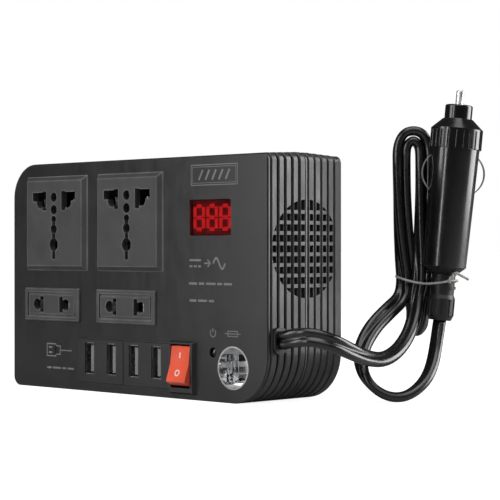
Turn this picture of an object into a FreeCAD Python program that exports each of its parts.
import FreeCAD, Part
import math
import os

# Power inverter for a car: a slim upright box with mains and USB outlets on its
# front, a fan in its right side, and a tied lead that ends in a lighter plug.
# Millimetres. X runs along the front, Y from the front to the back, Z up.
# The origin is the middle of the base.

# ---- casing -------------------------------------------------------------
CASE_WIDTH = 154.0
CASE_HEIGHT = 96.3
CASE_DEPTH = 42.4
LEFT = -CASE_WIDTH / 2
RIGHT = CASE_WIDTH / 2
FRONT = -CASE_DEPTH / 2
BACK = CASE_DEPTH / 2
RADIUS_TOP_LEFT = 14.5
RADIUS_TOP_RIGHT = 2.8
RADIUS_BOTTOM_RIGHT = 18.5
RADIUS_BOTTOM_LEFT = 4.0
SMALLEST_RADIUS = 0.8
CROWN = 1.0              # how much fuller the girth is at the seam
WALL = 2.8
RIB_COUNT = 5            # ribs on each half
RIB_GROOVE = 0.85
GROOVE_DEPTH = 0.9
RIB_CHAMFER = 0.35
SEAM_GROOVE = 0.5
SEAM_LIP = 0.4
SEAM_LIP_DEPTH = 0.45
PANEL_RIM = 1.2          # the part of the front panel that is seen from the side
PANEL_STEP = 1.2         # the part of it that sits inside the front shell
PANEL_CHAMFER = 0.5
BACK_WALL = 2.0
FIT_GAP = 0.15           # around a part that drops into a cut-out

RIB_FRONT_START = FRONT + PANEL_RIM
PANEL_BACK = RIB_FRONT_START + PANEL_STEP
SEAM_HALF = SEAM_GROOVE + SEAM_LIP
INNER_BACK = BACK - BACK_WALL

# ---- case screws --------------------------------------------------------
SCREW_PLACES = [(-70.6, 75.0), (-70.6, 7.5), (70.6, 84.5), (70.6, 35.0)]
SCREW_RADIUS = 1.5
SCREW_HEAD_RADIUS = 2.8
SCREW_HEAD = 1.9
SCREW_SUNK = 3.2
SCREW_LENGTH = 31.0
POST_RADIUS = 3.3
BOSS_RADIUS = 4.3

# ---- fan and its grille -------------------------------------------------
FAN_HEIGHT = 59.7
FAN_SIZE = 35.0
FAN_THICKNESS = 10.0
FAN_BORE = 16.6
FAN_SCREW_OFFSET = 14.4
FAN_STRUT = 1.2
FAN_TUBE_RADIUS = 2.2
FAN_SHAFT = 1.0
FAN_SHAFT_BORE = 1.06
FAN_OUTER_X = 73.6
HUB_RADIUS = 8.2
BLADE_RADIUS = 16.1
BLADE_COUNT = 7
GRILLE_RADIUS = 19.1
SMALLEST_HOLE = 4.0      # clipped holes under this volume are left out
GRILLE_PITCH = 4.07
GRILLE_ROWS = 9
HOLE_WIDTH = 2.1
HOLE_HEIGHT = 2.7
OUTLET_HEIGHT = 46.0
OUTLET_ROWS = 11

# ---- mains sockets ------------------------------------------------------
UNIVERSAL_CENTRES = [-47.1, -0.7]
UNIVERSAL_HEIGHT = 70.6
UNIVERSAL_WIDTH = 40.0
UNIVERSAL_TALL = 40.4
UNIVERSAL_PROUD = 2.0
TWO_PIN_CENTRES = [-49.9, -2.8]
TWO_PIN_HEIGHT = 35.85
TWO_PIN_WIDTH = 35.8
TWO_PIN_TALL = 14.1
TWO_PIN_PROUD = 1.1
SOCKET_FACE = 3.0
SOCKET_DEPTH = 12.0
UNIVERSAL_BODY = (34.0, 36.0)    # width and height behind the panel
TWO_PIN_BODY = (32.0, 10.6)
SOCKET_BODY_WALL = 1.5
CONTACT_LEAF = 0.5
CONTACT_DEPTH = 7.0
BLADE_SPACING = 12.7     # flat pins
ROUND_SPACING = 19.0     # round pins

# ---- USB outlets --------------------------------------------------------
USB_BLOCKS = [(-32.5, -4.7), (-3.7, 23.1)]
USB_BOTTOM = 3.7
USB_TOP = 21.8
USB_PORTS = [-25.6, -11.9, 1.8, 15.4]
USB_HEIGHT = 13.85
USB_WIDTH = 5.7
USB_TALL = 13.1
USB_SHEET = 0.3
USB_DEPTH = 14.0
USB_PROUD = 0.35

# ---- display ------------------------------------------------------------
DISPLAY_LEFT = 34.4
DISPLAY_RIGHT = 57.4
DISPLAY_BOTTOM = 64.85
DISPLAY_TOP = 79.15
DIGIT_COUNT = 3
DIGIT_PITCH = 7.2
DIGIT_WIDTH = 6.2
DIGIT_TALL = 10.6
SEGMENT = 1.5
SEGMENT_GAP = 0.3

# ---- rocker switch ------------------------------------------------------
SWITCH_X = 31.1
SWITCH_Z = 13.3
SWITCH_WIDTH = 15.0
SWITCH_TALL = 21.4
SWITCH_BOTTOM = 2.0
SWITCH_PROUD = 2.0
SWITCH_BEVEL = 0.9
SWITCH_BODY = (13.0, 19.2)       # width and height behind the panel
SWITCH_WELL = 17.4
SWITCH_DEPTH = 14.0
PIVOT_Y = FRONT + 0.7
ROCKER_WIDTH = 10.4
ROCKER_REST_TILT = 13.0  # degrees, lower end out
ROCKER_HALF = 7.08       # half the length of its face
ROCKER_EDGE = 4.01       # pivot to the ends of the face
ROCKER_VALLEY = 3.27     # pivot to the middle of the face
ROCKER_FLOOR = -2.6
ROCKER_GAP = 0.3
AXLE_RADIUS = 1.0

# ---- fuse and lamp ------------------------------------------------------
FUSE_X = 58.4
FUSE_Z = 13.7
CUP_RADIUS = 8.4
CUP_WALL = 0.7
CUP_FLOOR_Y = FRONT + 7.0
CUP_FLOOR = 1.2
FUSE_BODY_WIDTH = 3.6
FUSE_BODY_TALL = 10.9
FUSE_BODY_DEEP = 8.8
FUSE_BLADE_WIDTH = 2.8
FUSE_BLADE_THICK = 0.8
FUSE_BLADE_LENGTH = 7.5
FUSE_BLADE_OFFSET = 3.9
LAMP_X = 47.6
LAMP_Z = 19.3
LAMP_RADIUS = 1.9

# ---- circuit boards -----------------------------------------------------
BOARD_LEFT = -66.0
BOARD_RIGHT = 56.0
BOARD_BOTTOM = 5.0
BOARD_TOP = 91.0
BOARD_FRONT = 4.0
BOARD_THICK = 1.6
BOARD_BACK = BOARD_FRONT + BOARD_THICK
BOARD_FIXINGS = [(-58.0, 12.0), (-58.0, 86.0), (50.0, 26.0), (50.0, 86.0)]
CORE_LEFT = -22.0
CORE_RIGHT = 12.0
CORE_BOTTOM = 34.0
CORE_TOP = 62.0
CORE_DEPTH = 12.4
CORE_LIMB = 5.0          # outer limbs of the transformer's core
CORE_WINDOW = 7.0
WINDING_GAP = 0.3
CAPACITORS = [(24.0, 66.0, 6.0, 12.8), (38.0, 66.0, 6.0, 12.8), (24.0, 50.0, 5.0, 12.0),
              (36.0, 50.0, 5.0, 12.0), (-36.0, 84.0, 5.0, 12.0)]     # X, Z, radius, length
SINK_LEFT = -62.0
SINK_RIGHT = -30.0
SINK_BOTTOM = 24.0
SINK_TOP = 66.0
SINK_BASE = 2.4
SINK_FINS = 9
FIN_PITCH = 3.8
FIN_THICK = 1.1
FIN_DEEP = 9.0
TRANSISTORS = [(-44.0, 13.5), (-32.0, 13.5), (-46.0, 70.0), (-32.0, 70.0)]
TRANSISTOR_WIDTH = 10.0
TRANSISTOR_TALL = 7.0
TRANSISTOR_DEEP = 4.4
CHOKE_X = 28.0
CHOKE_Z = 26.0
CHOKE_RING = 8.0
CHOKE_THICK = 3.4

# ---- lead ---------------------------------------------------------------
CORD_ROUND = 5.2         # round section with the area of the flat twin lead
GROMMET_Y = -15.6
GROMMET_Z = 24.7
GROMMET_LIP = 0.35       # how far the outer lip covers the edge of the slot
CORD_START_X = RIGHT + 1.6
INNER_WIRE_RADIUS = 1.2
CORNER_SHARE = 0.45

# Route of the lead from the grommet to the foot of the hank.
LEAD_ROUTE = [
    (CORD_START_X, GROMMET_Y, GROMMET_Z),
    (86.4, -15.6, 26.4),
    (93.4, -13.0, 26.6),
    (98.0, -7.0, 24.2),
    (99.8, 1.4, 20.6),
    (98.8, 12.0, 17.6),
    (96.8, 23.4, 16.6),
    (94.8, 34.0, 19.2),
    (92.8, 43.2, 24.8),
    (90.6, 50.4, 32.2),
    (89.0, 53.8, 40.4),
]

# Route of the end that leaves the hank low down, turns once on the surface and
# comes up into the tail of the plug.
TAIL_ROUTE = [
    (83.4, 51.0, 39.4),
    (83.6, 42.4, 34.8),
    (83.2, 32.8, 28.4),
    (84.2, 25.0, 20.6),
    (87.4, 20.8, 12.8),
    (92.2, 21.0, 6.2),
    (97.6, 25.2, 2.8),
    (101.4, 32.0, 2.8),
    (103.2, 40.2, 6.6),
    (101.8, 47.4, 12.8),
    (99.4, 53.2, 21.6),
    (99.1, 55.8, 31.2),
]

# ---- hank of folded lead -------------------------------------------------
HANK_X = 84.9
HANK_Y = 55.9
HANK_BOTTOM = 25.0
HANK_TOP = 108.6
HANK_TOP_WIDTH = 14.0
HANK_FOOT_WIDTH = 10.0
HANK_THICK = 9.0

# ---- lighter plug --------------------------------------------------------
PLUG_TAIL = (99.1, 55.8, 31.2)
PLUG_AXIS = (6.05, 5.85, 92.0)
PLUG_SIDEWAYS = (0.7193, 0.6947, 0.0)
TAIL_END_RADIUS = 5.4
NECK_RADIUS = 4.7
TAIL_BELL = 10.2
NECK_TOP = 18.2
CONE_TOP = 21.5
BARREL_TOP = 68.7
BARREL_FOOT_RADIUS = 8.6
BARREL_HEAD_RADIUS = 9.7
BARREL_WALL = 1.7
THREAD_RADIUS = 8.3
THREAD_LENGTH = 7.0
CAP_RADIUS = 10.4
CAP_TOP = 78.4
NOSE_RADIUS = 5.5
NOSE_TOP = 86.5
CAP_GRIPS = 22
PIN_RADIUS = 1.6
PIN_HEAD_RADIUS = 3.4
TIP = 92.4
PLUG_FUSE_RADIUS = 3.1
SPRING_RADIUS = 2.4
SPRING_WIRE = 0.35
SPRING_TURNS = 4
PLUG_FUSE_FOOT = 42.0
PLUG_FUSE_TOP = 72.0
CONTACT_WIDTH = 2.6
CONTACT_SHEET = 0.45
CONTACT_FOOT = 51.5
CONTACT_HEAD = 66.5
CONTACT_BOW = 3.0
CONTACT_SLOT = 3.4

# ---- twist tie -----------------------------------------------------------
TIE_HEIGHT = 46.0
TIE_RADIUS = 0.55
TIE_HALF = 6.6           # half the width of its loop


# ---- general shapes ------------------------------------------------------
def point(x, y, z):
    return FreeCAD.Vector(x, y, z)


def box(x0, x1, y0, y1, z0, z1):
    return Part.makeBox(x1 - x0, y1 - y0, z1 - z0, point(x0, y0, z0))


def rod_x(radius, x0, x1, y, z):
    return Part.makeCylinder(radius, x1 - x0, point(x0, y, z), point(1, 0, 0))


def rod_y(radius, y0, y1, x, z):
    return Part.makeCylinder(radius, y1 - y0, point(x, y0, z), point(0, 1, 0))


def rod_z(radius, z0, z1, x=0.0, y=0.0):
    return Part.makeCylinder(radius, z1 - z0, point(x, y, z0))


def cone_z(radius0, radius1, z0, z1):
    return Part.makeCone(radius0, radius1, z1 - z0, point(0, 0, z0))


def join(shapes):
    return shapes[0].multiFuse(shapes[1:]).removeSplitter()


def group(shapes):
    return Part.makeCompound(shapes)


def arc_edge(start, middle, end):
    return Part.Arc(start, middle, end).toShape()


def rounded_wire(x0, x1, z0, z1, y, radii):
    """Outline in the XZ plane; radii are top left, top right, bottom right, bottom left."""
    top_left, top_right, bottom_right, bottom_left = radii
    corners = [
        (x0, z0, bottom_left, 180, 270),
        (x1, z0, bottom_right, 270, 360),
        (x1, z1, top_right, 0, 90),
        (x0, z1, top_left, 90, 180),
    ]
    arcs = []
    for x, z, radius, from_angle, to_angle in corners:
        centre_x = x + radius if x == x0 else x - radius
        centre_z = z + radius if z == z0 else z - radius
        ends = []
        for angle in (from_angle, (from_angle + to_angle) / 2, to_angle):
            turn = math.radians(angle)
            ends.append(point(centre_x + radius * math.cos(turn), y, centre_z + radius * math.sin(turn)))
        arcs.append(ends)
    edges = []
    for index, ends in enumerate(arcs):
        following = arcs[(index + 1) % len(arcs)]
        edges.append(arc_edge(*ends))
        edges.append(Part.LineSegment(ends[2], following[0]).toShape())
    return Part.Wire(edges)


def rounded_block(x0, x1, z0, z1, y0, y1, radii):
    if not isinstance(radii, tuple):
        radii = (radii, radii, radii, radii)
    face = Part.Face(rounded_wire(x0, x1, z0, z1, y0, radii))
    return face.extrude(point(0, y1 - y0, 0))


def centred_block(x, z, width, tall, y0, y1, radius):
    return rounded_block(x - width / 2, x + width / 2, z - tall / 2, z + tall / 2, y0, y1, radius)


def bevelled_plate(x, z, width, tall, front, back, bevel):
    """Plate whose four sides slope in towards its front face."""
    wires = []
    for y, inset, radius in ((back, 0, 0.5), (front, bevel, 0.3)):
        half_width = width / 2 - inset
        half_tall = tall / 2 - inset
        wires.append(rounded_wire(x - half_width, x + half_width, z - half_tall, z + half_tall,
                                  y, (radius, radius, radius, radius)))
    return Part.makeLoft(wires, True, True)


def edges_in_plane(shape, y):
    def lies_in_plane(edge):
        return all(abs(vertex.Y - y) < 1e-6 for vertex in edge.Vertexes)
    return [edge for edge in shape.Edges if lies_in_plane(edge)]


def chamfer_at(shape, y, size):
    return shape.makeChamfer(size, edges_in_plane(shape, y))


# ---- casing --------------------------------------------------------------
def case_slab(y0, y1, grow, inset, base=None):
    """Slice of the casing's outline; the base stays flat where the sides are fuller."""
    base = inset if base is None else base
    def radius(value):
        return max(value + grow - inset, SMALLEST_RADIUS)
    radii = (radius(RADIUS_TOP_LEFT), radius(RADIUS_TOP_RIGHT),
             radius(RADIUS_BOTTOM_RIGHT), max(RADIUS_BOTTOM_LEFT - inset, SMALLEST_RADIUS))
    side = grow - inset
    return rounded_block(LEFT - side, RIGHT + side, base, CASE_HEIGHT + side, y0, y1, radii)


def fullness(y):
    return CROWN * (1 - abs(y) / (CASE_DEPTH / 2))


def rib_bands():
    """Start, end and middle of the ribs in front of the seam, from front to seam."""
    pitch = (-SEAM_HALF - RIB_FRONT_START) / RIB_COUNT
    bands = []
    for index in range(RIB_COUNT):
        end = RIB_FRONT_START + pitch * (index + 1)
        start = end - pitch + RIB_GROOVE
        bands.append((start, end))
    return bands


def back_bands():
    """The same behind the seam, where the last rib runs on to the back face."""
    pitch = (BACK - SEAM_HALF) / RIB_COUNT
    bands = []
    for index in range(RIB_COUNT):
        start = SEAM_HALF + pitch * index
        end = start + pitch - RIB_GROOVE
        if index == RIB_COUNT - 1:
            end = BACK
        bands.append((start, end))
    return bands


def ribbed_body(bands, y0, y1, lip0, lip1):
    pieces = []
    for start, end in bands:
        band = case_slab(start, end, fullness((start + end) / 2), 0)
        band = chamfer_at(chamfer_at(band, start, RIB_CHAMFER), end, RIB_CHAMFER)
        pieces.append(band)
    pieces.append(case_slab(y0, y1, 0, GROOVE_DEPTH))
    pieces.append(case_slab(lip0, lip1, CROWN, SEAM_LIP_DEPTH, 0.0))
    return join(pieces)


def cavity(y0, y1):
    return case_slab(y0, y1, 0, WALL)


def grille_holes(columns):
    """Air holes in the ribs of the right side: slots that end on a circle, crossed by level bars."""
    x0 = RIGHT - 2 * WALL
    x1 = RIGHT + 2 * CROWN
    field = rod_x(GRILLE_RADIUS, x0, x1, 0, FAN_HEIGHT)
    bars = []
    for index in range(GRILLE_ROWS - 1):
        low = FAN_HEIGHT + (index - (GRILLE_ROWS - 2) / 2) * GRILLE_PITCH - (GRILLE_PITCH - HOLE_HEIGHT) / 2
        bars.append(box(x0 - 1, x1 + 1, -GRILLE_RADIUS, GRILLE_RADIUS,
                        low, low + GRILLE_PITCH - HOLE_HEIGHT))
    holes = []
    for y in columns:
        slot = box(x0, x1, y - HOLE_WIDTH / 2, y + HOLE_WIDTH / 2,
                   FAN_HEIGHT - GRILLE_RADIUS, FAN_HEIGHT + GRILLE_RADIUS)
        pieces = slot.common(field).cut(bars).Solids
        holes += [hole for hole in pieces if hole.Volume > SMALLEST_HOLE]
    return holes


def outlet_holes(columns):
    """Air outlet holes in the ribs of the left side."""
    holes = []
    for y in columns:
        for row in range(OUTLET_ROWS):
            z = OUTLET_HEIGHT + (row - (OUTLET_ROWS - 1) / 2) * GRILLE_PITCH
            holes.append(box(LEFT - 2 * CROWN, LEFT + 2 * WALL, y - HOLE_WIDTH / 2, y + HOLE_WIDTH / 2,
                             z - HOLE_HEIGHT / 2, z + HOLE_HEIGHT / 2))
    return holes


def band_middles(bands):
    return [(start + end) / 2 for start, end in bands]


def grommet_slot(grow):
    """Upright slot in the right wall for the grommet, given in a frame along X."""
    half_width = 2.9 + grow
    half_tall = 4.7 + grow
    return (GROMMET_Y - half_width, GROMMET_Y + half_width, GROMMET_Z - half_tall, GROMMET_Z + half_tall)


def upright_block(x0, x1, y0, y1, z0, z1, radius):
    """Block along X with its four long edges rounded."""
    block = box(x0, x1, y0, y1, z0, z1)
    long_edges = [edge for edge in block.Edges if abs(edge.Vertexes[0].X - edge.Vertexes[1].X) > 1e-6]
    return block.makeFillet(radius, long_edges)


def front_shell():
    bands = rib_bands()
    body = ribbed_body(bands, RIB_FRONT_START, 0.0, -SEAM_LIP, 0.0)
    middles = band_middles(bands)
    y0, y1, z0, z1 = grommet_slot(0.1)
    slot = upright_block(RIGHT - 2 * WALL, RIGHT + 2 * CROWN, y0, y1, z0, z1, 2.0)
    tools = [cavity(RIB_FRONT_START - 1, 1.0), slot]
    tools += grille_holes(middles) + outlet_holes(middles[1:])
    return body.cut(tools)


def rear_shell():
    bands = back_bands()
    body = ribbed_body(bands, 0.0, BACK - 1.0, 0.0, SEAM_LIP)
    middles = band_middles(bands)[:-1]
    tools = [cavity(-1.0, INNER_BACK)] + grille_holes(middles) + outlet_holes(middles)
    body = body.cut(tools)
    posts = [rod_y(BOSS_RADIUS, 0.1, INNER_BACK + 0.5, x, z) for x, z in SCREW_PLACES]
    posts += [rod_y(3.2, BOARD_BACK, INNER_BACK + 0.5, x, z) for x, z in BOARD_FIXINGS]
    body = join([body] + posts)
    bores = [rod_y(SCREW_RADIUS + 0.2, -1.0, BACK + 1, x, z) for x, z in SCREW_PLACES]
    bores += [rod_y(SCREW_HEAD_RADIUS + 0.4, BACK - SCREW_SUNK, BACK + 1, x, z) for x, z in SCREW_PLACES]
    bores += [rod_y(1.25, BOARD_BACK - 1, BOARD_BACK + 7.0, x, z) for x, z in BOARD_FIXINGS]
    return body.cut(bores)


def gapped_block(x, z, size, y0, y1, radius):
    """Tool for a cut-out that leaves a gap round a body of this width and height."""
    return centred_block(x, z, size[0] + 2 * FIT_GAP, size[1] + 2 * FIT_GAP, y0, y1, radius)


def panel_cutouts():
    """Cut-outs of the front panel, one for each part that sits in it."""
    y0 = FRONT - 1
    y1 = PANEL_BACK + 1
    cuts = []
    for x in UNIVERSAL_CENTRES:
        cuts.append(gapped_block(x, UNIVERSAL_HEIGHT, UNIVERSAL_BODY, y0, y1, 2.0))
    for x in TWO_PIN_CENTRES:
        cuts.append(gapped_block(x, TWO_PIN_HEIGHT, TWO_PIN_BODY, y0, y1, 1.0))
    for x0, x1 in USB_BLOCKS:
        cuts.append(rounded_block(x0 - 0.1, x1 + 0.1, USB_BOTTOM - 0.1, USB_TOP + 0.1, y0, y1, 0.9))
    cuts.append(rounded_block(DISPLAY_LEFT, DISPLAY_RIGHT, DISPLAY_BOTTOM, DISPLAY_TOP, y0, y1, 0.5))
    cuts.append(gapped_block(SWITCH_X, SWITCH_Z, SWITCH_BODY, y0, y1, 0.8))
    cuts.append(rod_y(CUP_RADIUS + 0.05, y0, y1, FUSE_X, FUSE_Z))
    cuts.append(rod_y(LAMP_RADIUS + 0.1, y0, y1, LAMP_X, LAMP_Z))
    return cuts


def front_panel():
    face = chamfer_at(case_slab(FRONT, RIB_FRONT_START, 0, 0), FRONT, PANEL_CHAMFER)
    step = case_slab(RIB_FRONT_START, PANEL_BACK, 0, WALL + 0.1)
    posts = [rod_y(POST_RADIUS, PANEL_BACK - 0.5, 0.0, x, z) for x, z in SCREW_PLACES]
    plate = join([face, step] + posts)
    bores = [rod_y(SCREW_RADIUS + 0.02, INNER_BACK - SCREW_LENGTH - 2, 1.0, x, z) for x, z in SCREW_PLACES]
    return plate.cut(panel_cutouts() + bores)


def case_screws():
    screws = []
    for x, z in SCREW_PLACES:
        head_y = BACK - SCREW_SUNK
        head = rod_y(SCREW_HEAD_RADIUS, head_y, head_y + SCREW_HEAD, x, z)
        head = head.makeFillet(0.5, edges_in_plane(head, head_y + SCREW_HEAD))
        shank = rod_y(SCREW_RADIUS, head_y - SCREW_LENGTH, head_y, x, z)
        screw = join([head, shank])
        top = head_y + SCREW_HEAD
        cross = [box(x - 1.7, x + 1.7, top - 1.0, top + 1, z - 0.4, z + 0.4),
                 box(x - 0.4, x + 0.4, top - 1.0, top + 1, z - 1.7, z + 1.7)]
        screws.append(screw.cut(cross))
    return group(screws)


# ---- mains sockets -------------------------------------------------------
def pin_entries(x, z, y0, y1, tall):
    """Flat pin slots joined to round pin holes, left and right of x."""
    cuts = []
    for side in (-1, 1):
        cuts.append(centred_block(x + side * BLADE_SPACING / 2, z, 2.3, tall, y0, y1, 0.4))
        cuts.append(rod_y(2.45, y0, y1, x + side * ROUND_SPACING / 2, z))
        cuts.append(centred_block(x + side * 7.9, z, 3.2, 3.6, y0, y1, 0.4))
    return cuts


def universal_entries(x, z, y0, y1):
    """Pin entries for several plug standards, with the earth holes in the middle."""
    cuts = []
    for side in (-1, 1):
        cuts.append(centred_block(x + side * BLADE_SPACING / 2, z + 9.6, 2.6, 8.3, y0, y1, 0.4))
        cuts.append(centred_block(x + side * 9.9, z + 11.4, 8.4, 3.8, y0, y1, 0.4))
        cuts.append(rod_y(2.5, y0, y1, x + side * 9.0, z + 8.9))
    for rise, radius in [(11.1, 2.05), (5.8, 2.1), (1.7, 1.6), (-2.5, 2.1), (-9.2, 2.8)]:
        cuts.append(rod_y(radius, y0, y1, x, z + rise))
    cuts.append(box(x - 1.0, x + 1.0, y0, y1, z - 15.3, z + 1.7))
    return cuts


def universal_socket(x):
    """Face plate with its pin entries and a body behind it that is open at the back."""
    z = UNIVERSAL_HEIGHT
    front = FRONT - UNIVERSAL_PROUD
    rear = front + SOCKET_FACE + SOCKET_DEPTH
    plate = bevelled_plate(x, z, UNIVERSAL_WIDTH, UNIVERSAL_TALL, front, FRONT, UNIVERSAL_PROUD)
    width, tall = UNIVERSAL_BODY
    body = centred_block(x, z, width, tall, FRONT, rear, 2.0)
    pocket = centred_block(x, z, width - 2 * SOCKET_BODY_WALL, tall - 2 * SOCKET_BODY_WALL,
                           front + SOCKET_FACE, rear + 1, 1.0)
    cuts = universal_entries(x, z, front - 1, front + SOCKET_FACE + 1)
    return join([plate, body]).cut([pocket] + cuts)


def two_pin_socket(x):
    z = TWO_PIN_HEIGHT
    front = FRONT - TWO_PIN_PROUD
    rear = FRONT + SOCKET_DEPTH - 1
    rim = centred_block(x, z, TWO_PIN_WIDTH, TWO_PIN_TALL, front, FRONT, 0.6)
    rim = chamfer_at(rim, front, 0.45)
    groove = centred_block(x, z, 32.2, 10.5, front - 1, front + 0.8, 0.5)
    island = centred_block(x, z, 30.6, 8.9, front + 0.15, front + 0.8, 0.5)
    island = chamfer_at(island, front + 0.15, 0.25)
    width, tall = TWO_PIN_BODY
    body = centred_block(x, z, width, tall, FRONT, rear, 1.0)
    pocket = centred_block(x, z, width - 2.6, tall - 2.6, front + SOCKET_FACE, rear + 1, 0.8)
    cuts = pin_entries(x, z, front - 1, front + SOCKET_FACE + 1, 6.9)
    return join([rim.cut(groove), island, body]).cut([pocket] + cuts)


def contact_clip(x, z, side, y0, tall):
    """Brass clip of two leaves with a bridge behind them."""
    inner = x + side * 7.75
    outer = x + side * 11.6
    y1 = y0 + CONTACT_DEPTH
    half = CONTACT_LEAF / 2
    leaves = []
    for leaf_x in (inner, outer):
        leaves.append(box(leaf_x - half, leaf_x + half, y0, y1, z - tall / 2, z + tall / 2))
    low = min(inner, outer)
    high = max(inner, outer)
    leaves.append(box(low - half, high + half, y1 - CONTACT_LEAF, y1, z - tall / 2, z + tall / 2))
    return join(leaves)


def socket_contacts():
    clips = []
    for x in UNIVERSAL_CENTRES:
        y0 = FRONT - UNIVERSAL_PROUD + SOCKET_FACE + 1.6
        for side in (-1, 1):
            clips.append(contact_clip(x, UNIVERSAL_HEIGHT + 8.3, side, y0, 4.4))
        earth = rod_y(3.7, y0, y0 + 6, x, UNIVERSAL_HEIGHT - 9.2)
        clips.append(earth.cut(rod_y(3.1, y0 - 1, y0 + 7, x, UNIVERSAL_HEIGHT - 9.2)))
    for x in TWO_PIN_CENTRES:
        y0 = FRONT - TWO_PIN_PROUD + SOCKET_FACE + 0.4
        for side in (-1, 1):
            clips.append(contact_clip(x, TWO_PIN_HEIGHT, side, y0, 4.6))
    return group(clips)


# ---- USB outlets ---------------------------------------------------------
def ports_in(block):
    x0, x1 = block
    return [x for x in USB_PORTS if x0 < x < x1]


def usb_bezel(block):
    x0, x1 = block
    front = FRONT - USB_PROUD
    plate = rounded_block(x0, x1, USB_BOTTOM, USB_TOP, front, FRONT + 6.0, 0.8)
    plate = chamfer_at(plate, front, 0.25)
    holes = []
    for x in ports_in(block):
        holes.append(centred_block(x, USB_HEIGHT, USB_WIDTH + 0.1, USB_TALL + 0.1,
                                   front - 1, FRONT + 7, 0.4))
    return plate.cut(holes)


def usb_shells():
    shells = []
    for x in USB_PORTS:
        y0 = FRONT + 0.15
        y1 = y0 + USB_DEPTH
        outer = centred_block(x, USB_HEIGHT, USB_WIDTH, USB_TALL, y0, y1, 0.4)
        inner = centred_block(x, USB_HEIGHT, USB_WIDTH - 2 * USB_SHEET, USB_TALL - 2 * USB_SHEET,
                              y0 - 1, y1 - 0.4, 0.3)
        springs = []
        for rise in (-2.9, 2.9):
            springs.append(box(x + USB_WIDTH / 2 - 1.0, x + USB_WIDTH / 2 - 0.1, y0 + 1.2, y0 + 5.4,
                               USB_HEIGHT + rise - 0.8, USB_HEIGHT + rise + 0.8))
        shells.append(join([outer.cut(inner)] + springs))
    return group(shells)


def usb_tongues():
    tongues = []
    for x in USB_PORTS:
        y0 = FRONT + 1.0
        y1 = FRONT + 0.15 + USB_DEPTH - 0.4
        blade = box(x - 0.5, x + 1.3, y0, y1, USB_HEIGHT - 5.55, USB_HEIGHT + 5.55)
        foot = centred_block(x, USB_HEIGHT, USB_WIDTH - 2 * USB_SHEET, USB_TALL - 2 * USB_SHEET,
                             y1 - 3.0, y1, 0.3)
        tongues.append(join([blade, foot]))
    return group(tongues)


def usb_contacts():
    pins = []
    for x in USB_PORTS:
        for rise in (-3.5, -1.0, 1.0, 3.5):
            pins.append(box(x - 0.72, x - 0.5, FRONT + 2.0, FRONT + 10.0,
                            USB_HEIGHT + rise - 0.5, USB_HEIGHT + rise + 0.5))
    return group(pins)


def usb_board():
    y0 = FRONT + 0.15 + USB_DEPTH
    board = box(-33.0, 22.5, y0, y0 + 1.6, 4.2, 26.0)
    chips = [box(-20.0, -14.0, y0 + 1.6, y0 + 3.0, 8.0, 13.0),
             box(6.0, 12.0, y0 + 1.6, y0 + 3.0, 8.0, 13.0)]
    return join([board] + chips)


# ---- display -------------------------------------------------------------
def display_window():
    return rounded_block(DISPLAY_LEFT + 0.1, DISPLAY_RIGHT - 0.1, DISPLAY_BOTTOM + 0.1, DISPLAY_TOP - 0.1,
                         FRONT + 0.3, FRONT + 1.5, 0.4)


def digit_bars(x, z):
    """Seven bars of one figure: three level and four upright."""
    y0 = FRONT + 1.6
    y1 = y0 + 0.3
    inner = DIGIT_WIDTH - 2 * SEGMENT - 2 * SEGMENT_GAP
    bars = []
    for rise in (-(DIGIT_TALL - SEGMENT) / 2, 0, (DIGIT_TALL - SEGMENT) / 2):
        bars.append(box(x - inner / 2, x + inner / 2, y0, y1,
                        z + rise - SEGMENT / 2, z + rise + SEGMENT / 2))
    upright = (DIGIT_TALL - 3 * SEGMENT) / 2 - 2 * SEGMENT_GAP + SEGMENT
    for side in (-1, 1):
        bar_x = x + side * (DIGIT_WIDTH - SEGMENT) / 2
        for level in (-1, 1):
            bar_z = z + level * (DIGIT_TALL - SEGMENT) / 4
            bars.append(box(bar_x - SEGMENT / 2, bar_x + SEGMENT / 2, y0, y1,
                            bar_z - upright / 2, bar_z + upright / 2))
    return bars


def display_segments():
    middle_x = (DISPLAY_LEFT + DISPLAY_RIGHT) / 2
    middle_z = (DISPLAY_BOTTOM + DISPLAY_TOP) / 2
    bars = []
    for index in range(DIGIT_COUNT):
        bars += digit_bars(middle_x + (index - (DIGIT_COUNT - 1) / 2) * DIGIT_PITCH, middle_z)
    return group(bars)


def display_module():
    block = box(DISPLAY_LEFT - 0.5, DISPLAY_RIGHT + 0.5, PANEL_BACK + 0.1, FRONT + 9.5,
                DISPLAY_BOTTOM - 1.5, DISPLAY_TOP + 1.5)
    board = box(DISPLAY_LEFT - 3.0, DISPLAY_RIGHT + 3.0, FRONT + 9.5, FRONT + 11.1,
                DISPLAY_BOTTOM - 4.0, DISPLAY_TOP + 4.0)
    nose = box(DISPLAY_LEFT + 0.2, DISPLAY_RIGHT - 0.2, FRONT + 2.0, PANEL_BACK + 0.1,
               DISPLAY_BOTTOM + 0.2, DISPLAY_TOP - 0.2)
    return join([nose, block, board])


# ---- rocker switch -------------------------------------------------------
def switch_housing():
    front = FRONT - SWITCH_PROUD
    bezel = bevelled_plate(SWITCH_X, SWITCH_BOTTOM + SWITCH_TALL / 2, SWITCH_WIDTH, SWITCH_TALL,
                           front, FRONT, SWITCH_BEVEL)
    body = centred_block(SWITCH_X, SWITCH_Z, *SWITCH_BODY, FRONT, FRONT + SWITCH_DEPTH, 0.6)
    well = centred_block(SWITCH_X, SWITCH_Z, ROCKER_WIDTH + 2 * ROCKER_GAP, SWITCH_WELL,
                         front - 1, FRONT + 9.5, 0.4)
    axle = rod_x(AXLE_RADIUS + 0.06, SWITCH_X - 6.2, SWITCH_X + 6.2, PIVOT_Y, SWITCH_Z)
    return join([bezel, body]).cut([well, axle])


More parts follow.
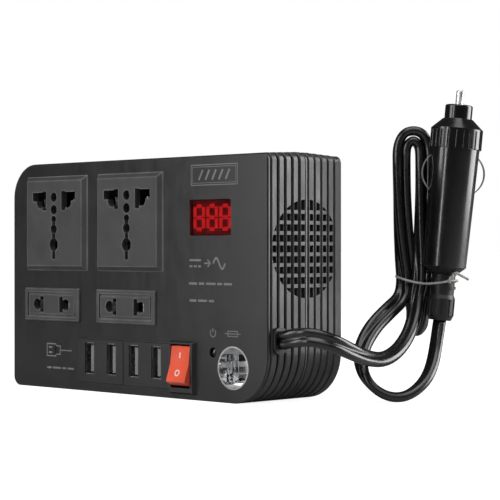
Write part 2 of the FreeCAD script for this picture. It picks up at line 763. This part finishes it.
def switch_terminals():
    blades = []
    for rise in (-6.4, 0.0, 6.4):
        z = SWITCH_Z + rise
        root = FRONT + SWITCH_DEPTH
        blade = box(SWITCH_X - 2.4, SWITCH_X + 2.4, root, root + 7.0, z - 0.4, z + 0.4)
        blades.append(blade.cut(rod_z(0.9, z - 1, z + 1, SWITCH_X, root + 4.5)))
    return group(blades)


def rocker():
    """Outline in the YZ plane about the pivot, then turned to its resting tilt."""
    end_radius = math.hypot(ROCKER_HALF, ROCKER_EDGE)
    low_half = ROCKER_HALF - 0.9
    corner_angle = math.atan2(ROCKER_EDGE, ROCKER_HALF)

    def place(rise, out):
        return point(0, -out, rise)

    def on_end(angle, side):
        return place(side * end_radius * math.cos(angle), end_radius * math.sin(angle))

    edges = [
        Part.LineSegment(place(0, ROCKER_VALLEY), place(ROCKER_HALF, ROCKER_EDGE)).toShape(),
        arc_edge(on_end(corner_angle, 1), on_end(corner_angle / 2, 1), on_end(0, 1)),
        Part.LineSegment(on_end(0, 1), place(low_half, ROCKER_FLOOR)).toShape(),
        Part.LineSegment(place(low_half, ROCKER_FLOOR), place(-low_half, ROCKER_FLOOR)).toShape(),
        Part.LineSegment(place(-low_half, ROCKER_FLOOR), on_end(0, -1)).toShape(),
        arc_edge(on_end(0, -1), on_end(corner_angle / 2, -1), on_end(corner_angle, -1)),
        Part.LineSegment(place(-ROCKER_HALF, ROCKER_EDGE), place(0, ROCKER_VALLEY)).toShape(),
    ]
    key = Part.Face(Part.Wire(edges)).extrude(point(ROCKER_WIDTH, 0, 0))
    key.translate(point(-ROCKER_WIDTH / 2, 0, 0))
    axle = rod_x(AXLE_RADIUS, -ROCKER_WIDTH / 2 - 0.8, ROCKER_WIDTH / 2 + 0.8, 0, 0)
    key = join([key, axle])
    key.rotate(point(0, 0, 0), point(1, 0, 0), -ROCKER_REST_TILT)
    key.translate(point(SWITCH_X, PIVOT_Y, SWITCH_Z))
    return key


# ---- lamp and fuse -------------------------------------------------------
def power_led():
    body = rod_y(LAMP_RADIUS, FRONT + 1.6, FRONT + 6.0, LAMP_X, LAMP_Z)
    dome = Part.makeSphere(LAMP_RADIUS, point(LAMP_X, FRONT + 1.9, LAMP_Z))
    dome = dome.common(box(LAMP_X - 3, LAMP_X + 3, FRONT - 2, FRONT + 1.9, LAMP_Z - 3, LAMP_Z + 3))
    legs = [rod_y(0.25, FRONT + 6.0, FRONT + 14.0, LAMP_X + side * 1.27, LAMP_Z) for side in (-1, 1)]
    return join([body, dome] + legs)


def blade_slots(grow, y0, y1):
    slots = []
    for side in (-1, 1):
        z = FUSE_Z + side * FUSE_BLADE_OFFSET
        half_width = FUSE_BLADE_WIDTH / 2 + grow
        half_thick = FUSE_BLADE_THICK / 2 + grow
        slots.append(box(FUSE_X - half_thick, FUSE_X + half_thick, y0, y1, z - half_width, z + half_width))
    return slots


def fuse_cup():
    outer = rod_y(CUP_RADIUS, FRONT + 0.1, CUP_FLOOR_Y + CUP_FLOOR, FUSE_X, FUSE_Z)
    inner = rod_y(CUP_RADIUS - CUP_WALL, FRONT - 1, CUP_FLOOR_Y, FUSE_X, FUSE_Z)
    block = box(FUSE_X - 4.5, FUSE_X + 4.5, CUP_FLOOR_Y + CUP_FLOOR, FRONT + 17.5,
                FUSE_Z - 7.5, FUSE_Z + 7.5)
    hollow = box(FUSE_X - 2.6, FUSE_X + 2.6, CUP_FLOOR_Y + CUP_FLOOR + 0.2, FRONT + 18.5,
                 FUSE_Z - 6.3, FUSE_Z + 6.3)
    return join([outer, block]).cut([inner, hollow] + blade_slots(0.15, FRONT, CUP_FLOOR_Y + 3))


def fuse_clips():
    clips = []
    y0 = CUP_FLOOR_Y + CUP_FLOOR + 0.6
    for side in (-1, 1):
        z = FUSE_Z + side * FUSE_BLADE_OFFSET
        leaves = []
        for leaf in (-1, 1):
            x = FUSE_X + leaf * (FUSE_BLADE_THICK / 2 + 0.3)
            leaves.append(box(x - 0.22, x + 0.22, y0, y0 + 8.0, z - 1.7, z + 1.7))
        leaves.append(box(FUSE_X - 0.92, FUSE_X + 0.92, y0 + 8.0, y0 + 8.6, z - 1.7, z + 1.7))
        clips.append(join(leaves))
    return group(clips)


def blade_fuse_body():
    front = CUP_FLOOR_Y - FUSE_BODY_DEEP - 0.05
    head = centred_block(FUSE_X, FUSE_Z, FUSE_BODY_WIDTH, FUSE_BODY_TALL, front, front + 3.2, 0.5)
    head = chamfer_at(head, front, 0.3)
    waist = centred_block(FUSE_X, FUSE_Z, FUSE_BODY_WIDTH - 0.8, FUSE_BODY_TALL - 0.8,
                          front + 3.2, CUP_FLOOR_Y - 0.05, 0.4)
    window = []
    for side in (-1, 1):
        window.append(rod_y(0.55, front - 1, front + 1.0, FUSE_X, FUSE_Z + side * 3.6))
    return join([head, waist]).cut(window + blade_slots(0.0, front + 4.0, CUP_FLOOR_Y + 1))


def blade_fuse_blades():
    front = CUP_FLOOR_Y - FUSE_BODY_DEEP - 0.05
    return group(blade_slots(0.0, front + 4.0, CUP_FLOOR_Y + FUSE_BLADE_LENGTH))


# ---- circuit board -------------------------------------------------------
def main_board():
    board = box(BOARD_LEFT, BOARD_RIGHT, BOARD_FRONT, BOARD_BACK, BOARD_BOTTOM, BOARD_TOP)
    holes = [rod_y(1.6, BOARD_FRONT - 1, BOARD_BACK + 1, x, z) for x, z in BOARD_FIXINGS]
    return board.cut(holes)


def board_screws():
    screws = []
    for x, z in BOARD_FIXINGS:
        head = rod_y(2.6, BOARD_FRONT - 1.8, BOARD_FRONT, x, z)
        shank = rod_y(1.2, BOARD_FRONT, BOARD_BACK + 5.0, x, z)
        screws.append(join([head, shank]))
    return group(screws)


def transformer_core():
    """Ferrite block with a window each side of its middle limb."""
    y0 = BOARD_BACK + FIT_GAP
    block = box(CORE_LEFT, CORE_RIGHT, y0, y0 + CORE_DEPTH, CORE_BOTTOM, CORE_TOP)
    windows = []
    for x0 in (CORE_LEFT + CORE_LIMB, CORE_RIGHT - CORE_LIMB - CORE_WINDOW):
        windows.append(box(x0, x0 + CORE_WINDOW, y0 - 1, y0 + CORE_DEPTH + 1,
                           CORE_BOTTOM + CORE_LIMB, CORE_TOP - CORE_LIMB))
    return block.cut(windows)


def transformer_winding():
    """The two sides of the coil, in the windows of the core."""
    y0 = BOARD_BACK + FIT_GAP
    inset = CORE_LIMB + WINDING_GAP
    outer = rounded_block(CORE_LEFT + inset, CORE_RIGHT - inset, CORE_BOTTOM + inset, CORE_TOP - inset,
                          y0, y0 + CORE_DEPTH, 2.0)
    limb_inset = CORE_LIMB + CORE_WINDOW - WINDING_GAP
    limb = box(CORE_LEFT + limb_inset, CORE_RIGHT - limb_inset, y0 - 1, y0 + CORE_DEPTH + 1,
               CORE_BOTTOM, CORE_TOP)
    return group(outer.cut(limb).Solids)


def capacitors():
    cans = []
    for x, z, radius, length in CAPACITORS:
        can = rod_y(radius, BOARD_BACK, BOARD_BACK + length, x, z)
        cans.append(can.makeFillet(0.6, edges_in_plane(can, BOARD_BACK + length)))
    return group(cans)


def heatsink():
    y0 = BOARD_BACK + 1.0
    y1 = y0 + SINK_BASE
    fins = [box(SINK_LEFT, SINK_RIGHT, y0, y1, SINK_BOTTOM, SINK_TOP)]
    for index in range(SINK_FINS):
        x = SINK_LEFT + 0.5 + index * FIN_PITCH
        fins.append(box(x, x + FIN_THICK, y1, y1 + FIN_DEEP, SINK_BOTTOM, SINK_TOP))
    return join(fins)


def power_transistors():
    cases = []
    for x, z in TRANSISTORS:
        cases.append(box(x - TRANSISTOR_WIDTH / 2, x + TRANSISTOR_WIDTH / 2,
                         BOARD_BACK, BOARD_BACK + TRANSISTOR_DEEP,
                         z - TRANSISTOR_TALL / 2, z + TRANSISTOR_TALL / 2))
    return group(cases)


def output_choke():
    centre = point(CHOKE_X, BOARD_BACK + CHOKE_THICK + 0.2, CHOKE_Z)
    return Part.makeTorus(CHOKE_RING, CHOKE_THICK, centre, point(0, 1, 0))


# ---- fan -----------------------------------------------------------------
def fan_frame():
    x0 = FAN_OUTER_X - FAN_THICKNESS
    half = FAN_SIZE / 2
    block = upright_block(x0, FAN_OUTER_X, -half, half, FAN_HEIGHT - half, FAN_HEIGHT + half, 2.0)
    bore = rod_x(FAN_BORE, x0 - 1, FAN_OUTER_X + 1, 0, FAN_HEIGHT)
    holes = []
    for y in (-FAN_SCREW_OFFSET, FAN_SCREW_OFFSET):
        for rise in (-FAN_SCREW_OFFSET, FAN_SCREW_OFFSET):
            holes.append(rod_x(1.5, x0 - 1, FAN_OUTER_X + 1, y, FAN_HEIGHT + rise))
    ring = block.cut([bore] + holes)
    struts = []
    for angle in (45, 135, 225, 315):
        strut = box(x0, x0 + FAN_STRUT, 5.0, FAN_BORE + 0.8, -0.9, 0.9)
        strut.rotate(point(0, 0, 0), point(1, 0, 0), angle)
        strut.translate(point(0, 0, FAN_HEIGHT))
        struts.append(strut)
    pad = rod_x(HUB_RADIUS, x0, x0 + FAN_STRUT, 0, FAN_HEIGHT)
    tube = rod_x(FAN_TUBE_RADIUS, x0, x0 + 6.0, 0, FAN_HEIGHT)
    shaft_bore = rod_x(FAN_SHAFT_BORE, x0 - 1, x0 + 7, 0, FAN_HEIGHT)
    return join([ring, pad.cut(shaft_bore), tube.cut(shaft_bore)] + struts)


def fan_stator():
    x0 = FAN_OUTER_X - FAN_THICKNESS + FAN_STRUT + 0.2
    core = rod_x(5.8, x0, x0 + 4.0, 0, FAN_HEIGHT)
    return core.cut(rod_x(FAN_TUBE_RADIUS + 0.05, x0 - 1, x0 + 5, 0, FAN_HEIGHT))


def fan_gasket():
    half = FAN_SIZE / 2
    x1 = RIGHT - WALL
    ring = upright_block(FAN_OUTER_X, x1, -half, half, FAN_HEIGHT - half, FAN_HEIGHT + half, 2.0)
    return ring.cut(rod_x(FAN_BORE, FAN_OUTER_X - 1, x1 + 1, 0, FAN_HEIGHT))


def fan_rotor():
    x0 = FAN_OUTER_X - FAN_THICKNESS + 1.6
    x1 = FAN_OUTER_X - 0.6
    cup = rod_x(HUB_RADIUS, x0, x1, 0, FAN_HEIGHT)
    cup = cup.cut(rod_x(HUB_RADIUS - 1.3, x0 - 1, x1 - 1.4, 0, FAN_HEIGHT))
    shaft = rod_x(FAN_SHAFT, x0 - 1.4, x1 - 1.0, 0, FAN_HEIGHT)
    limit = rod_x(BLADE_RADIUS, x0 + 0.2, x1 - 0.2, 0, FAN_HEIGHT)
    blades = []
    for index in range(BLADE_COUNT):
        blade = box(-6.5, 6.5, -0.55, 0.55, HUB_RADIUS - 0.7, BLADE_RADIUS + 1)
        blade.rotate(point(0, 0, 0), point(0, 0, 1), 38)
        blade.translate(point((x0 + x1) / 2, 0, 0))
        blade.rotate(point(0, 0, 0), point(1, 0, 0), index * 360 / BLADE_COUNT)
        blade.translate(point(0, 0, FAN_HEIGHT))
        blades.append(blade.common(limit))
    return join([cup, shaft] + blades)


# ---- lead ----------------------------------------------------------------
def cable_grommet():
    y0, y1, z0, z1 = grommet_slot(0.0)
    core = upright_block(RIGHT - WALL - 1.0, RIGHT + 1.0, y0, y1, z0, z1, 2.0)
    lip = upright_block(RIGHT + 0.7, CORD_START_X, y0 - GROMMET_LIP, y1 + GROMMET_LIP,
                        z0 - GROMMET_LIP, z1 + GROMMET_LIP, 2.4)
    inner_lip = upright_block(RIGHT - WALL - 2.0, RIGHT - WALL - 0.1, y0 - 0.1, y1 + 0.5,
                              z0 - 0.9, z1 + 0.9, 2.0)
    bore = rod_x(CORD_ROUND / 2, RIGHT - 10, RIGHT + 5, GROMMET_Y, GROMMET_Z)
    return join([core, lip, inner_lip]).cut(bore)


def inner_wires():
    """Positive and negative wires from the grommet to the main board."""
    wires = []
    for side in (-1, 1):
        z = GROMMET_Z + side * 1.4
        route = [(RIGHT - WALL - 2.0, GROMMET_Y, z), (66.0, -15.0, z), (60.0, -6.0 + side, z + 8.0),
                 (50.0, -1.0, z + 10.0 + 4 * side), (44.0, BOARD_FRONT, z + 12.0 + 4 * side)]
        wires.append(tube_along(route, INNER_WIRE_RADIUS)[0])
    return group(wires)


def tube_along(route, radius):
    """Tube of straight runs joined by tangent arcs, and the list of its bend radii."""
    places = [point(*place) for place in route]
    edges = []
    radii = []
    last = places[0]
    for before, corner, after in zip(places, places[1:], places[2:]):
        to_corner = corner - before
        from_corner = after - corner
        share = CORNER_SHARE * min(to_corner.Length, from_corner.Length)
        turn = to_corner.getAngle(from_corner)
        into = corner - to_corner.normalize() * share
        out = corner + from_corner.normalize() * share
        bend = share / math.tan(turn / 2)
        inward = ((into - corner) + (out - corner)).normalize()
        middle = corner + inward * (bend / math.cos(turn / 2) - bend)
        edges.append(Part.LineSegment(last, into).toShape())
        edges.append(arc_edge(into, middle, out))
        radii.append(round(bend, 1))
        last = out
    edges.append(Part.LineSegment(last, places[-1]).toShape())
    path = Part.Wire(edges)
    start = places[0]
    along = (places[1] - places[0]).normalize()
    profile = Part.Wire(Part.makeCircle(radius, start, along))
    return path.makePipeShell([profile], True, False), radii


def hank_frame():
    """Placement whose X is across the hank and whose Z is up."""
    across = point(*PLUG_SIDEWAYS)
    behind = point(0, 0, 1).cross(across)
    return FreeCAD.Placement(FreeCAD.Matrix(
        across.x, behind.x, 0, HANK_X,
        across.y, behind.y, 0, HANK_Y,
        0, 0, 1, 0,
        0, 0, 0, 1))


def cord_hank():
    """Outer shape of the folded turns: wide at the top fold, narrow at the tie."""
    half_top = HANK_TOP_WIDTH / 2
    half_foot = HANK_FOOT_WIDTH / 2
    shoulder = HANK_TOP - half_top
    foot = HANK_BOTTOM + half_foot
    edges = [
        Part.LineSegment(point(half_foot, 0, foot), point(half_top, 0, shoulder)).toShape(),
        arc_edge(point(half_top, 0, shoulder), point(0, 0, HANK_TOP), point(-half_top, 0, shoulder)),
        Part.LineSegment(point(-half_top, 0, shoulder), point(-half_foot, 0, foot)).toShape(),
        arc_edge(point(-half_foot, 0, foot), point(0, 0, HANK_BOTTOM), point(half_foot, 0, foot)),
    ]
    slab = Part.Face(Part.Wire(edges)).extrude(point(0, HANK_THICK, 0))
    slab.translate(point(0, -HANK_THICK / 2, 0))
    slab = slab.makeFillet(1.8, slab.Edges)
    slab.Placement = hank_frame().multiply(slab.Placement)
    return slab


# ---- plug ----------------------------------------------------------------
def plug_frame():
    """Placement whose Z runs from the tail of the plug to its tip."""
    along = point(*PLUG_AXIS).normalize()
    across = point(*PLUG_SIDEWAYS)
    across = (across - along * across.dot(along)).normalize()
    behind = along.cross(across)
    return FreeCAD.Placement(FreeCAD.Matrix(
        across.x, behind.x, along.x, PLUG_TAIL[0],
        across.y, behind.y, along.y, PLUG_TAIL[1],
        across.z, behind.z, along.z, PLUG_TAIL[2],
        0, 0, 0, 1))


def placed(shape):
    shape.Placement = plug_frame().multiply(shape.Placement)
    return shape


def plug_tail():
    """Tapered strain relief: a ribbed bell, a ringed neck and a cone up to the barrel."""
    bell = cone_z(TAIL_END_RADIUS - 0.9, TAIL_END_RADIUS, 0.0, 2.2)
    body = rod_z(TAIL_END_RADIUS, 2.2, TAIL_BELL - 1.5)
    shoulder = cone_z(TAIL_END_RADIUS, NECK_RADIUS, TAIL_BELL - 1.5, TAIL_BELL)
    neck = rod_z(NECK_RADIUS, TAIL_BELL, NECK_TOP)
    cone = cone_z(NECK_RADIUS, BARREL_FOOT_RADIUS, NECK_TOP, CONE_TOP)
    spigot = rod_z(BARREL_FOOT_RADIUS - BARREL_WALL - 0.05, CONE_TOP, CONE_TOP + 6.0)
    rings = [rod_z(NECK_RADIUS + 0.5, z, z + 1.2) for z in (12.6, 15.4)]
    tail = join([bell, body, shoulder, neck, cone, spigot] + rings)
    flutes = []
    for index in range(12):
        flute = rod_z(0.55, -1.0, TAIL_BELL - 1.6, TAIL_END_RADIUS + 0.1, 0.0)
        flute.rotate(point(0, 0, 0), point(0, 0, 1), index * 30)
        flutes.append(flute)
    return placed(tail.cut(flutes))


def contact_slots():
    slots = []
    for side in (-1, 1):
        slots.append(box(min(0, side * 14), max(0, side * 14), -CONTACT_SLOT / 2, CONTACT_SLOT / 2,
                         CONTACT_FOOT - 1.2, CONTACT_HEAD + 1.2))
    return slots


def plug_barrel():
    outer = cone_z(BARREL_FOOT_RADIUS, BARREL_HEAD_RADIUS, CONE_TOP, BARREL_TOP)
    thread = rod_z(THREAD_RADIUS, BARREL_TOP, BARREL_TOP + THREAD_LENGTH)
    inner = rod_z(BARREL_FOOT_RADIUS - BARREL_WALL, CONE_TOP - 1, BARREL_TOP + THREAD_LENGTH + 1)
    return placed(join([outer, thread]).cut([inner] + contact_slots()))


def plug_cap():
    """Ridged screw cap with the nose that guides the tip pin."""
    skirt = rod_z(CAP_RADIUS, BARREL_TOP + 0.2, CAP_TOP - 1.6)
    dome = cone_z(CAP_RADIUS, NOSE_RADIUS + 0.6, CAP_TOP - 1.6, CAP_TOP + 2.4)
    nose = rod_z(NOSE_RADIUS, CAP_TOP + 2.4, NOSE_TOP)
    nose = nose.makeFillet(0.7, [nose.Edges[0]])
    cap = join([skirt, dome, nose])
    grips = []
    for index in range(CAP_GRIPS):
        grip = rod_z(0.5, BARREL_TOP - 1, CAP_TOP - 2.4, CAP_RADIUS + 0.15, 0.0)
        grip.rotate(point(0, 0, 0), point(0, 0, 1), index * 360 / CAP_GRIPS)
        grips.append(grip)
    hollow = rod_z(THREAD_RADIUS + 0.15, BARREL_TOP - 1, BARREL_TOP + THREAD_LENGTH + 0.4)
    chamber = rod_z(4.5, BARREL_TOP, NOSE_TOP - 1.4)
    mouth = rod_z(PIN_RADIUS + 0.8, NOSE_TOP - 2, NOSE_TOP + 1)
    return placed(cap.cut(grips + [hollow, chamber, mouth]))


def plug_cap_liner():
    """Metal ferrule in the nose; it holds the pin and rises as the cap unscrews."""
    tube = rod_z(4.4, BARREL_TOP + THREAD_LENGTH + 0.6, NOSE_TOP - 1.5)
    bore = rod_z(PIN_HEAD_RADIUS + 0.1, BARREL_TOP, NOSE_TOP - 2.1)
    mouth = rod_z(PIN_RADIUS + 0.08, BARREL_TOP, NOSE_TOP + 1)
    return placed(tube.cut([bore, mouth]))


def plug_tip_pin():
    head_top = NOSE_TOP - 2.15
    head = rod_z(PIN_HEAD_RADIUS, head_top - 1.6, head_top)
    pin = rod_z(PIN_RADIUS, head_top, TIP)
    pin = pin.makeFillet(0.6, [pin.Edges[0]])
    return placed(join([head, pin]))


def plug_tip_spring():
    """Coil spring between the fuse and the head of the pin."""
    foot = PLUG_FUSE_TOP + 0.1 + SPRING_WIRE
    top = NOSE_TOP - 2.15 - 1.7 - SPRING_WIRE
    steps = SPRING_TURNS * 8
    route = []
    for step in range(steps + 1):
        angle = math.radians(45 * step)
        rise = foot + (top - foot) * step / steps
        route.append((SPRING_RADIUS * math.cos(angle), SPRING_RADIUS * math.sin(angle), rise))
    return placed(tube_along(route, SPRING_WIRE)[0])


def plug_fuse():
    glass = rod_z(PLUG_FUSE_RADIUS - 0.2, PLUG_FUSE_FOOT + 5, PLUG_FUSE_TOP - 5)
    ends = [rod_z(PLUG_FUSE_RADIUS, PLUG_FUSE_FOOT, PLUG_FUSE_FOOT + 5.5),
            rod_z(PLUG_FUSE_RADIUS, PLUG_FUSE_TOP - 5.5, PLUG_FUSE_TOP)]
    return placed(join([glass] + ends))


def plug_contact(side):
    """Thin bowed spring in the slot of the barrel, on the side given."""
    reach = BARREL_HEAD_RADIUS - 1.0
    middle = (CONTACT_FOOT + CONTACT_HEAD) / 2
    outer_bow = reach + 1.0 + CONTACT_BOW
    foot = point(side * reach, 0, CONTACT_FOOT)
    head = point(side * reach, 0, CONTACT_HEAD)
    crest = point(side * outer_bow, 0, middle)
    inner_foot = point(side * (reach - CONTACT_SHEET), 0, CONTACT_FOOT)
    inner_head = point(side * (reach - CONTACT_SHEET), 0, CONTACT_HEAD)
    inner_crest = point(side * (outer_bow - CONTACT_SHEET), 0, middle)
    edges = [
        arc_edge(foot, crest, head),
        Part.LineSegment(head, inner_head).toShape(),
        arc_edge(inner_head, inner_crest, inner_foot),
        Part.LineSegment(inner_foot, foot).toShape(),
    ]
    strip = Part.Face(Part.Wire(edges)).extrude(point(0, CONTACT_WIDTH, 0))
    strip.translate(point(0, -CONTACT_WIDTH / 2, 0))
    return placed(strip)


def twist_tie():
    """Thin covered wire round the hank and the neck of the plug."""
    neck = plug_frame().multVec(point(0, 0, (TIE_HEIGHT - PLUG_TAIL[2])))
    hank = point(HANK_X, HANK_Y, TIE_HEIGHT)
    neck.z = TIE_HEIGHT
    towards = (neck - hank).normalize()
    across = point(-towards.y, towards.x, 0) * TIE_HALF
    ahead = towards * TIE_HALF
    edges = [
        Part.LineSegment(hank + across, neck + across).toShape(),
        arc_edge(neck + across, neck + ahead, neck - across),
        Part.LineSegment(neck - across, hank - across).toShape(),
        arc_edge(hank - across, hank - ahead, hank + across),
    ]
    profile = Part.Wire(Part.makeCircle(TIE_RADIUS, hank + across, towards))
    return Part.Wire(edges).makePipeShell([profile], True, False)


# ---- writing -------------------------------------------------------------
def report_tube(name, route, tube, radii):
    length = tube.Volume / (math.pi * (CORD_ROUND / 2) ** 2)
    runs = [point(*a).distanceToPoint(point(*b)) for a, b in zip(route, route[1:])]
    print(name, "radii", radii, "volume", round(tube.Volume, 1), "length by volume", round(length, 1),
          "runs", [round(run, 1) for run in runs])


def build():
    lead, lead_radii = tube_along(LEAD_ROUTE, CORD_ROUND / 2)
    report_tube("cord_lead", LEAD_ROUTE, lead, lead_radii)
    tail, tail_radii = tube_along(TAIL_ROUTE, CORD_ROUND / 2)
    report_tube("cord_tail_loop", TAIL_ROUTE, tail, tail_radii)
    return {
        "front_panel": front_panel(),
        "front_shell": front_shell(),
        "rear_shell": rear_shell(),
        "case_screws": case_screws(),
        "universal_socket_left": universal_socket(UNIVERSAL_CENTRES[0]),
        "universal_socket_right": universal_socket(UNIVERSAL_CENTRES[1]),
        "two_pin_socket_left": two_pin_socket(TWO_PIN_CENTRES[0]),
        "two_pin_socket_right": two_pin_socket(TWO_PIN_CENTRES[1]),
        "socket_contacts": socket_contacts(),
        "usb_bezel_left": usb_bezel(USB_BLOCKS[0]),
        "usb_bezel_right": usb_bezel(USB_BLOCKS[1]),
        "usb_shells": usb_shells(),
        "usb_tongues": usb_tongues(),
        "usb_contacts": usb_contacts(),
        "usb_board": usb_board(),
        "display_window": display_window(),
        "display_segments": display_segments(),
        "display_module": display_module(),
        "switch_housing": switch_housing(),
        "switch_terminals": switch_terminals(),
        "rocker": rocker(),
        "power_led": power_led(),
        "fuse_cup": fuse_cup(),
        "fuse_clips": fuse_clips(),
        "blade_fuse_body": blade_fuse_body(),
        "blade_fuse_blades": blade_fuse_blades(),
        "main_board": main_board(),
        "board_screws": board_screws(),
        "transformer_core": transformer_core(),
        "transformer_winding": transformer_winding(),
        "capacitors": capacitors(),
        "heatsink": heatsink(),
        "power_transistors": power_transistors(),
        "output_choke": output_choke(),
        "fan_frame": fan_frame(),
        "fan_stator": fan_stator(),
        "fan_gasket": fan_gasket(),
        "fan_rotor": fan_rotor(),
        "cable_grommet": cable_grommet(),
        "inner_wires": inner_wires(),
        "cord_lead": lead,
        "cord_hank": cord_hank(),
        "cord_tail_loop": tail,
        "twist_tie": twist_tie(),
        "plug_tail": plug_tail(),
        "plug_barrel": plug_barrel(),
        "plug_cap": plug_cap(),
        "plug_cap_liner": plug_cap_liner(),
        "plug_tip_pin": plug_tip_pin(),
        "plug_tip_spring": plug_tip_spring(),
        "plug_fuse": plug_fuse(),
        "plug_contact_left": plug_contact(-1),
        "plug_contact_right": plug_contact(1),
    }


def main():
    os.makedirs("parts", exist_ok=True)
    for name, shape in build().items():
        shape.exportStep("parts/" + name + ".step")
        print(name, "solids", len(shape.Solids), "valid", shape.isValid(), "volume", round(shape.Volume, 1))


main()
